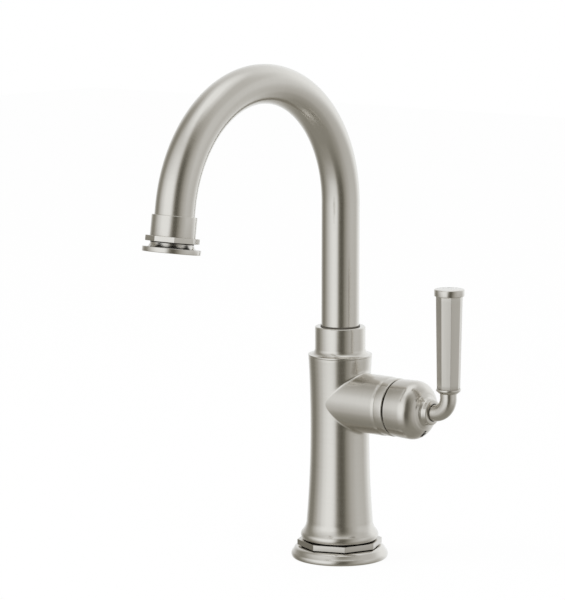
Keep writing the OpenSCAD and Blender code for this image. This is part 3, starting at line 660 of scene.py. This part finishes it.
def buildBentRod():
    tree, given, result = newGroup("bentRod", [
        ("Geometry", "Geometry", None), ("Start Length", "Float", 100.0), ("Bend Radius", "Float", 80.0),
        ("Bend Angle", "Float", 90.0), ("End Length", "Float", 10.0), ("Rod Radius", "Float", 5.0),
        ("Points", "Int", 100), ("Sides", "Int", 64), ("Caps", "Bool", None), ("Finish", "Material", None),
    ], [("Geometry", "Geometry")], "GeometryNodeTree")
    straight, bendRadius = given["Start Length"], given["Bend Radius"]

    def calc(operation, *values):
        return mathNode(tree, operation, *values)

    def grow(kind, inputs, **settings):
        return newNode(tree, "GeometryNode" + kind, inputs, **settings).outputs

    angle = calc("RADIANS", given["Bend Angle"])
    bendLength = calc("MULTIPLY", angle, bendRadius)
    whole = calc("ADD", calc("ADD", straight, bendLength), given["End Length"])
    line = grow("CurvePrimitiveLine", {"End": (0, 0, 1)})[0]
    points = grow("ResampleCurve", {"Curve": line, "Count": given["Points"]})[0]
    along = calc("MULTIPLY", grow("SplineParameter", {})["Factor"], whole)
    past = calc("MAXIMUM", calc("SUBTRACT", along, straight), 0.0)
    bent = calc("MINIMUM", calc("DIVIDE", past, bendRadius), angle)
    beyond = calc("MAXIMUM", calc("SUBTRACT", past, bendLength), 0.0)
    sine, cosine = calc("SINE", bent), calc("COSINE", bent)
    bow = calc("MULTIPLY", calc("SUBTRACT", 1.0, cosine), bendRadius)
    across = calc("ADD", bow, calc("MULTIPLY", beyond, sine))
    rise = calc("ADD", calc("MINIMUM", along, straight), calc("MULTIPLY", sine, bendRadius))
    up = calc("ADD", rise, calc("MULTIPLY", beyond, cosine))
    place = joinVector(tree, None, calc("MULTIPLY", across, -1.0), up)
    moved = grow("SetPosition", {"Geometry": points, "Position": place})[0]
    capture = newNode(tree, "GeometryNodeCaptureAttribute", domain="POINT")
    capture.capture_items.new("FLOAT", "Along")
    feed(tree, moved, capture.inputs["Geometry"])
    feed(tree, along, capture.inputs["Along"])
    ring = grow("CurvePrimitiveCircle", {"Resolution": given["Sides"], "Radius": given["Rod Radius"]})[0]
    swept = grow("CurveToMesh", {
        "Curve": capture.outputs["Geometry"], "Profile Curve": ring, "Fill Caps": given["Caps"],
    })[0]
    stored = grow("StoreNamedAttribute", {
        "Name": "alongTube", "Geometry": swept, "Value": capture.outputs["Along"],
    }, data_type="FLOAT")[0]
    realized = grow("RealizeInstances", {0: stored})[0]
    feed(tree, grow("SetMaterial", {"Geometry": realized, "Material": given["Finish"]})[0], result[0])
    return tree


# Gives an object the tree with its named inputs, turns the result into a plain mesh and drops the modifiers.
def rodPiece(name, values, place, wall=0):
    piece = addObject(name, bpy.data.meshes.new(name + "Seed"))
    modifier = piece.modifiers.new("grow", "NODES")
    modifier.node_group = bentRod
    names = {item.name: item.identifier for item in bentRod.interface.items_tree if item.in_out == "INPUT"}
    for label, value in values.items():
        modifier[names[label]] = value
    if wall:
        shell = piece.modifiers.new("solidify", "SOLIDIFY")
        shell.thickness, shell.offset, shell.use_rim = wall, -1.0, True
    bpy.context.view_layer.update()
    graph = bpy.context.evaluated_depsgraph_get()
    evaluated = piece.evaluated_get(graph)
    mesh = bpy.data.meshes.new_from_object(evaluated, preserve_all_data_layers=True, depsgraph=graph)
    piece.modifiers.clear()
    piece.data = mesh
    mesh.name = name
    mesh.transform(Matrix.Diagonal((mm, mm, mm, 1)) @ place)
    smoothMesh(mesh, 40)
    return piece


bentRod = buildBentRod()
gooseneck = {"footZ": 135.95, "tubeRadius": 12.7, "wall": 1.2, "endLength": 17.9, "sides": 128, "points": 260}


def gooseneckPiece():
    g = gooseneck
    return rodPiece("gooseneckTube", {
        "Start Length": layout["riserTopZ"] - g["footZ"], "Bend Radius": layout["bendRadius"],
        "Bend Angle": layout["bendAngle"], "End Length": g["endLength"], "Rod Radius": g["tubeRadius"],
        "Points": g["points"], "Sides": g["sides"], "Caps": False, "Finish": nickelTube,
    }, Matrix.Translation((0, 0, g["footZ"])), g["wall"])


fitted(gooseneckPiece(), "spout", "gooseneck_tube")

# spout tip: heights run down the tube from the end of the bend

tipSleeve = {
    "start": 5.5, "end": 18.7, "radius": 14.3, "bore": 12.7, "mouth": 13.0, "mouthDepth": 0.3,
    "seatBore": 11.5, "seatStart": 17.9,
}
tipOctagon = {"corner": 17.0, "height": 3.4, "bore": 12.6, "edge": 0.22, "fillet": 0.25}
aeratorHousing = {
    "neckRadius": 13.6, "endRadius": 18.4, "coveHeight": 3.5, "end": 28.8, "neckBore": 9.6,
    "threadRadius": 12.5, "ledge": 2.0, "bore": 11.1, "boreStart": 19.7, "boreEdge": 0.8, "boreFlare": 0.7,
}


def sleevePiece():
    s = tipSleeve
    return turnedPiece("tipSleeve", softOutline([
        (s["bore"], s["start"] + s["mouthDepth"]), (s["mouth"], s["start"], 0.1),
        (s["radius"], s["start"], 0.45), (s["radius"], s["end"], 0.1), (s["seatBore"], s["end"]),
        (s["seatBore"], s["seatStart"]), (s["bore"], s["seatStart"]),
    ]), nickelTip, tipFrame(0))


def tipOctagonPiece():
    # painted shade on the face that looks at the housing's ledge
    shadow = (tipOctagon["height"] - hair, 0.0, tipOctagon["corner"])
    place = tipFrame(tipSleeve["end"])
    return octagonRingPiece("tipOctagon", tipOctagon, [nickelTip, plain["jointShadow"]], place, shadow)


def housingPiece():
    a, start = aeratorHousing, tipSleeve["end"]
    neckStart = start + tipOctagon["height"]
    coveRadius = a["endRadius"] - a["neckRadius"]
    coveAngle = math.degrees(math.asin(a["coveHeight"] / coveRadius))
    ledgeStart = neckStart + a["coveHeight"]
    outline = [(a["neckBore"], start), (a["threadRadius"], start), (a["threadRadius"], neckStart)]
    outline += arcPoints((a["endRadius"], neckStart), coveRadius, 180, 180 - coveAngle, 12)
    outline += softOutline([
        (a["endRadius"] - a["ledge"], ledgeStart), (a["endRadius"], ledgeStart, 0.35),
        (a["endRadius"], a["end"], 0.4), (a["bore"] + a["boreFlare"], a["end"], 0.2),
        (a["bore"], a["end"] - a["boreEdge"], 0.2), (a["bore"], a["boreStart"]),
        (a["neckBore"], a["boreStart"]),
    ], closed=False)
    materials = [nickelTip, plain["jointShadow"]]
    # painted shade on only the cove's first strips, in the corner at the octagon ring
    shadow = (neckStart, a["neckRadius"] - 0.6, a["neckRadius"] + 0.03)
    return turnedPiece("aeratorHousing", outline, materials, tipFrame(0), shadow=shadow)


fitted(sleevePiece(), "spout", "tip_sleeve")
fitted(tipOctagonPiece(), "spout", "tip_octagon_ring")
fitted(housingPiece(), "spout", "aerator_housing")

# bonnet ring and hub, turned round the handle's axis: heights are x

bonnet = {"spigot": 17.0, "radius": 19.4, "start": 42.5, "front": 48.8, "nutBore": 12.6, "spigotEnd": 47.9}
hub = {
    "rimX": 50.0, "rimRadius": 19.1, "rimFlat": 0.5, "rimLip": 0.4, "radius": 19.5, "skirtX": 61.8,
    "shoulder": 9.7, "shoulderTurn": 40.0, "dome": 14.0, "domeTurn": 56.0,
    # the lip and the neck behind the lever's rod as (r, x, fillet)
    "neck": [(12.7, 71.45, 3.0), (11.5, 71.8, 1.0), (9.75, 72.5, 0.9), (8.65, 74.2, 2.2), (8.4, 77.2, 0.9)],
    "front": 77.7, "frontRadius": 6.6, "contactRadius": 5.95,
    "wall": 0.9, "cavityX": 66.8, "cavityRound": 7.7, "bossRadius": 8.5, "bossX": 53.0,
    "screwX": 69.3, "screwRadius": 2.1, "screwEdge": 0.4, "screwFloor": 7.5, "screwSides": 40,
    "holeMargin": 0.7, "segments": 192,
}


def bonnetPiece():
    b = bonnet
    return turnedPiece("bonnetRing", softOutline([
        (b["spigot"], b["start"]), (b["radius"], b["start"], 0.12), (b["radius"], b["front"], 0.8),
        (b["nutBore"], b["front"], 0.3), (b["nutBore"], b["spigotEnd"]), (b["spigot"], b["spigotEnd"]),
    ]), nickelX, handleFrame)


def hubOutline():
    h = hub
    rim, rimX, flatEnd = h["rimRadius"], h["rimX"], h["rimX"] + h["rimFlat"]
    outline = softOutline([(rim - h["rimLip"], rimX), (rim, rimX + hair, 0.2), (rim, flatEnd)], closed=False)
    swell, span = h["radius"] - rim, h["skirtX"] - flatEnd
    outline += [(h["radius"] - swell * (1 - t) ** 2, flatEnd + span * t) for t in np.linspace(0.1, 1, 10)]
    # the shoulder and the dome are two arcs, and the second starts in the direction the first ends in
    start = 0.0
    for radius, end, steps in ((h["shoulder"], h["shoulderTurn"], 11), (h["dome"], h["domeTurn"], 7)):
        r, x = outline[-1]
        turn = math.radians(start)
        centre = (r - radius * math.cos(turn), x - radius * math.sin(turn))
        outline += arcPoints(centre, radius, start, end, steps)[1:]
        start = end
    return outline


def hubPiece():
    h, outer = hub, hubOutline()
    radii, heights = [p[0] for p in outer], [p[1] for p in outer]
    builder = bmesh.new()
    hole, walls = [], []
    for i in range(h["screwSides"]):
        a = 2 * math.pi * i / h["screwSides"]
        x, y = h["screwX"] + h["screwRadius"] * math.cos(a), h["screwRadius"] * math.sin(a)
        r = float(np.interp(x, heights, radii))
        # the handle frame's +X points down, so the hole faces the angle 0
        hole.append((math.asin(y / r), x))
        walls.append((math.sqrt(r * r - y * y), y, x))
    turnedWithHole(builder, outer, hole, h["segments"], h["holeMargin"])
    mouth = [builder.verts.new(p) for p in walls]
    edge = [builder.verts.new((r - h["screwEdge"], y, x)) for r, y, x in walls]
    floor = [builder.verts.new((h["screwFloor"], y, x)) for _, y, x in walls]
    bridgeRows(builder, [mouth, edge])
    # painted shade in the set screw's hole: its wall past the edge and its floor
    for face in bridgeRows(builder, [edge, floor]) + [builder.faces.new(floor)]:
        face.material_index = 1
    front = h["front"]
    neckOutline = softOutline([
        outer[-1], *h["neck"], (h["frontRadius"], front), (h["contactRadius"], front), (0, front),
    ], 6, closed=False)
    turnRows(builder, neckOutline, h["segments"], closed=False)
    # painted shade on the front face under the rod, which shows as a thin dark ring round its root
    paintJointShade(builder, front - hair, 0, h["contactRadius"])
    cavity, bend = h["rimRadius"] - h["wall"], h["cavityRound"]
    inside = [(h["rimRadius"] - h["rimLip"], h["rimX"]), (cavity, h["rimX"])]
    inside += arcPoints((cavity - bend, h["cavityX"] - bend), bend, 0, 90, 10)
    inside += [(h["bossRadius"], h["cavityX"]), (h["bossRadius"], h["bossX"]), (0, h["bossX"])]
    turnRows(builder, inside, h["segments"], closed=False)
    return finishMesh("handleHub", builder, [nickelX, plain["jointShadow"]], handleFrame)


fitted(bonnetPiece(), "faucet_base", "bonnet_ring")
fitted(hubPiece(), "handle", "handle_hub")

# lever

elbow = {
    "rodRadius": 5.5, "bend": 11.0, "bendAngle": 90.0, "endLength": 3.5, "points": 60, "sides": 96,
}
bead = {
    "foot": 121.3, "height": 3.2, "bore": 4.1, "rootRadius": 5.4, "swellRadius": 6.3, "swellRise": 0.25,
    "radius": 8.1, "radiusRise": 1.9, "sides": 128,
}
grip = {
    "foot": 124.5, "length": 61.0, "footRadius": 7.7, "topRadius": 8.8, "fillet": 0.35, "stations": 12,
    # heights of the softened ends, with how far the facets are pulled in there
    "edge": [(0.0, 0.3), (0.12, 0.1), (0.35, 0.0)],
}
cap = {"radius": 9.9, "height": 4.5, "sides": 128}


def elbowPiece():
    e = elbow
    # from the tree's frame, which starts along +Z and bends to -Y, to one that starts along +X and bends up
    turn = Matrix(((0, 0, 1, 0), (-1, 0, 0, 0), (0, -1, 0, 0), (0, 0, 0, 1)))
    return rodPiece("handleElbow", {
        "Start Length": layout["leverX"] - e["bend"] - hub["front"], "Bend Radius": e["bend"],
        "Bend Angle": e["bendAngle"], "End Length": e["endLength"], "Rod Radius": e["rodRadius"],
        "Points": e["points"], "Sides": e["sides"], "Caps": True, "Finish": nickelTube,
    }, Matrix.Translation((hub["front"], 0, layout["handleZ"])) @ turn)


def gripPiece():
    g, length = grip, grip["length"]
    builder = bmesh.new()
    rows = []
    stations = g["edge"] + [(length * t, 0.0) for t in np.linspace(0.05, 0.95, g["stations"])]
    stations += [(length - z, inset) for z, inset in reversed(g["edge"])]
    for z, inset in stations:
        corner = g["footRadius"] + (g["topRadius"] - g["footRadius"]) * z / length
        rows.append([builder.verts.new((x, y, z)) for x, y in octagonOutline(corner, inset, g["fillet"])])
    bridgeRows(builder, rows)
    for row in (rows[0], rows[-1]):
        builder.faces.new(row)
    place = leverFrame @ Matrix.Translation((0, 0, g["foot"]))
    return finishMesh("leverGrip", builder, nickelFacet, place, sharpAngle=28)


def beadPiece():
    b, foot = bead, bead["foot"]
    return turnedPiece("leverBead", softOutline([
        (b["bore"], foot), (b["rootRadius"], foot, 0.2), (b["swellRadius"], foot + b["swellRise"], 0.6),
        (b["radius"], foot + b["radiusRise"], 1.0), (b["radius"], foot + b["height"], 0.3),
        (b["bore"], foot + b["height"]),
    ]), nickelLever, leverFrame, b["sides"])


def capPiece():
    foot = grip["foot"] + grip["length"]
    top = foot + cap["height"]
    return turnedPiece("leverCap", softOutline([
        (0, foot), (cap["radius"], foot, 0.4), (cap["radius"], top, 0.7), (0, top),
    ], closed=False), nickelLever, leverFrame, cap["sides"])


fitted(elbowPiece(), "handle", "handle_elbow")
fitted(gripPiece(), "handle", "lever_grip")
fitted(beadPiece(), "handle", "lever_bead")
fitted(capPiece(), "handle", "lever_cap")

# CAD nodes that stay in view get their finish

nodeFinish = {
    "brass": ["mounting_insert", "spout_stem", "bonnet_nut"],
    "copper": ["hot_supply_tube", "cold_supply_tube"],
    "steel": ["aerator_screen", "cartridge_rotor", "tilt_pin", "cartridge_stem", "hub_set_screw"],
    "rubber": ["base_gasket", "spout_o_rings", "aerator_gasket", "cartridge_seals"],
    "whitePlastic": [
        "thrust_washer", "collar_washer", "aerator_insert", "cartridge_housing", "cartridge_base",
        "disc_carrier",
    ],
    "wiperPlastic": ["guide_bushing"],
    "redPlastic": ["limit_ring"],
    "ceramic": ["fixed_disc", "moving_disc"],
}
for finishName, nodeNames in nodeFinish.items():
    for nodeName in nodeNames:
        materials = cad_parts[nodeName].data.materials
        materials.clear()
        materials.append(plain[finishName])
print("CAD nodes finished")

# studio

camera = {
    "turn": 37.96, "distance": 1926.3, "height": 461.1, "yaw": 1.148, "pitch": 8.465, "lens": 175.07,
    "sensor": 36, "farEnd": 50,
}


# Returns the direction that the camera stands in, which the room is laid out round.
def buildCamera():
    c = camera
    turn, pitch = math.radians(c["turn"]), math.radians(c["pitch"])
    aim = turn + math.radians(c["yaw"])
    ahead = -Vector((math.sin(aim) * math.cos(pitch), -math.cos(aim) * math.cos(pitch), math.sin(pitch)))
    data = bpy.data.cameras.new("photoCamera")
    data.sensor_width, data.lens, data.clip_end = c["sensor"], c["lens"], c["farEnd"]
    place = Vector((math.sin(turn) * c["distance"], -math.cos(turn) * c["distance"], c["height"])) * mm
    bpy.context.scene.camera = addObject("photoCamera", data, place, ahead)
    return aim


# What metal shows: brightness round the studio, from behind on the left, past the camera, to behind on the
# right. The low ring is just under eye height, the high one above it.
lowRing = [
    (-180, 1.00), (-160, 0.86), (-146, 0.50), (-130, 0.25), (-114, 0.23), (-98, 0.38), (-80, 0.62),
    (-62, 0.86), (-46, 0.98), (-32, 0.98), (-22, 0.86), (-15, 0.45), (-8, 0.15), (4, 0.10), (14, 0.14),
    (26, 0.34), (44, 0.51), (64, 0.60), (84, 0.59), (100, 0.56), (116, 0.72), (132, 0.95), (150, 1.05),
    (180, 1.05),
]
highRing = [
    (-180, 0.90), (-166, 0.86), (-150, 0.66), (-135, 0.36), (-120, 0.27), (-108, 0.34), (-96, 0.57),
    (-80, 0.80), (-60, 0.98), (-40, 1.07), (-26, 1.03), (-16, 0.78), (-8, 0.34), (1, 0.13), (12, 0.12),
    (22, 0.22), (35, 0.40), (50, 0.54), (70, 0.68), (90, 0.68), (104, 0.72), (118, 0.90), (132, 1.07),
    (150, 1.08), (168, 1.00), (180, 0.92),
]
# By height, from straight down to straight up: the share of the high ring and of either ring, and the
# brightness of table and ceiling
highShare = [(-90, 0.0), (-12, 0.0), (8, 1.0), (90, 1.0)]
ringShare = [
    (-90, 0.0), (-67, 0.0), (-52, 0.10), (-37, 0.36), (-22, 0.80), (-8, 1.0), (20, 1.0), (37, 0.76),
    (52, 0.48), (67, 0.30), (82, 0.05), (90, 0.0),
]
tableAndCeiling = [
    (-90, 0.29), (-64, 0.28), (-50, 0.23), (-37, 0.16), (-22, 0.04), (-8, 0.0), (24, 0.0), (37, 0.07),
    (52, 0.26), (67, 0.60), (80, 0.98), (90, 1.0),
]
# The dim parts of the room are warmer: level, and how much red and blue it has for one part of green. The
# first two are the ramp's own ends.
roomTint = [
    (0.0, 1.06, 0.80), (1.0, 0.98, 1.015), (0.12, 1.06, 0.82), (0.3, 1.035, 0.88), (0.5, 1.015, 0.955),
    (0.75, 0.99, 1.0),
]
worldFill = 0.88


def buildWorld(aim):
    world = bpy.data.worlds.new("studioWorld")
    bpy.context.scene.world = world
    world.use_nodes = True
    world.cycles.sampling_method = "NONE"
    tree = world.node_tree
    tree.nodes.clear()
    direction = newNode(tree, "ShaderNodeTexCoord").outputs["Generated"]
    turned = newNode(tree, "ShaderNodeMapping", {"Vector": direction, "Rotation": (0, 0, -aim)})
    x, y, z = splitVector(tree, turned.outputs["Vector"])
    around = mathNode(tree, "ARCTAN2", x, mathNode(tree, "MULTIPLY", y, -1.0))
    aroundShare = mathNode(tree, "MULTIPLY_ADD", around, 1 / (2 * math.pi), 0.5)
    upShare = mathNode(tree, "MULTIPLY_ADD", mathNode(tree, "ARCSINE", z), 1 / math.pi, 0.5)

    # stops are (angle from -reach to reach, brightness)
    def ramp(share, stops, reach):
        node = newNode(tree, "ShaderNodeValToRGB", {0: share})
        node.color_ramp.interpolation = "EASE"
        elements = node.color_ramp.elements
        elements.remove(elements[-1])
        for i, (angle, value) in enumerate(stops):
            position = (angle + reach) / (2 * reach)
            element = elements[0] if i == 0 else elements.new(position)
            element.position = position
            element.color = (value, value, value, 1)
        return node.outputs["Color"]

    low, high = ramp(aroundShare, lowRing, 180), ramp(aroundShare, highRing, 180)
    ring = mixNode(tree, "MIX", ramp(upShare, highShare, 90), low, high)
    ring = mixNode(tree, "MULTIPLY", 1.0, ring, ramp(upShare, ringShare, 90))
    level = mixNode(tree, "ADD", 1.0, ring, ramp(upShare, tableAndCeiling, 90))
    shade = newNode(tree, "ShaderNodeValToRGB", {0: level})
    elements = shade.color_ramp.elements
    for i, (value, red, blue) in enumerate(roomTint):
        element = elements[i] if i < 2 else elements.new(value)
        element.position = value
        element.color = (value * red, value, value * blue, 1)
    path = newNode(tree, "ShaderNodeLightPath").outputs
    seen = mixNode(tree, "MIX", path["Is Glossy Ray"], (worldFill,) * 3 + (1,), shade.outputs["Color"])
    direct = mathNode(tree, "ADD", path["Is Camera Ray"], path["Is Transmission Ray"])
    shown = mixNode(tree, "MIX", direct, seen, (1, 1, 1, 1))
    background = newNode(tree, "ShaderNodeBackground", {"Color": shown}).outputs[0]
    newNode(tree, "ShaderNodeOutputWorld", {"Surface": background})


floorLook = {"half": 3.0, "height": -0.0003, "color": (0.9, 0.9, 0.9, 1), "glow": 0.95}  # in metres


# A pale floor that looks nearly white to the camera, and clear from below
def buildFloor():
    f, half, height = floorLook, floorLook["half"], floorLook["height"]
    mesh = bpy.data.meshes.new("floor")
    corners = [(-half, -half, height), (half, -half, height), (half, half, height), (-half, half, height)]
    mesh.from_pydata(corners, [], [(0, 1, 2, 3)])
    material = bpy.data.materials.new("paleFloor")
    material.use_nodes = True
    tree = material.node_tree
    tree.nodes.clear()
    path = newNode(tree, "ShaderNodeLightPath").outputs
    cameraShare = mathNode(tree, "MULTIPLY", path["Is Camera Ray"], f["glow"])
    back = newNode(tree, "ShaderNodeNewGeometry").outputs["Backfacing"]
    diffuse = newNode(tree, "ShaderNodeBsdfDiffuse", {"Color": f["color"]}).outputs[0]
    glow = newNode(tree, "ShaderNodeEmission").outputs[0]
    clear = newNode(tree, "ShaderNodeBsdfTransparent").outputs[0]
    front = newNode(tree, "ShaderNodeMixShader", {0: cameraShare, 1: diffuse, 2: glow}).outputs[0]
    sides = newNode(tree, "ShaderNodeMixShader", {0: back, 1: front, 2: clear}).outputs[0]
    newNode(tree, "ShaderNodeOutputMaterial", {"Surface": sides})
    mesh.materials.append(material)
    floor = addObject("floor", mesh)
    floor.visible_glossy = False


# place in metres, size and energy
lamps = {"softboxLeft": ((-1.1, -1.3, 1.2), 1.2, 14.0), "softboxRight": ((1.6, -0.3, 1.0), 1.0, 6.0)}
lampTarget = Vector((0, -0.05, 0.15))


def buildLamps():
    for name, (place, size, energy) in lamps.items():
        data = bpy.data.lights.new(name, "AREA")
        data.size, data.energy = size, energy
        addObject(name, data, place, lampTarget - Vector(place)).visible_glossy = False


buildWorld(buildCamera())
buildFloor()
buildLamps()
bpy.context.scene.view_settings.view_transform = "Standard"
print("studio ready")
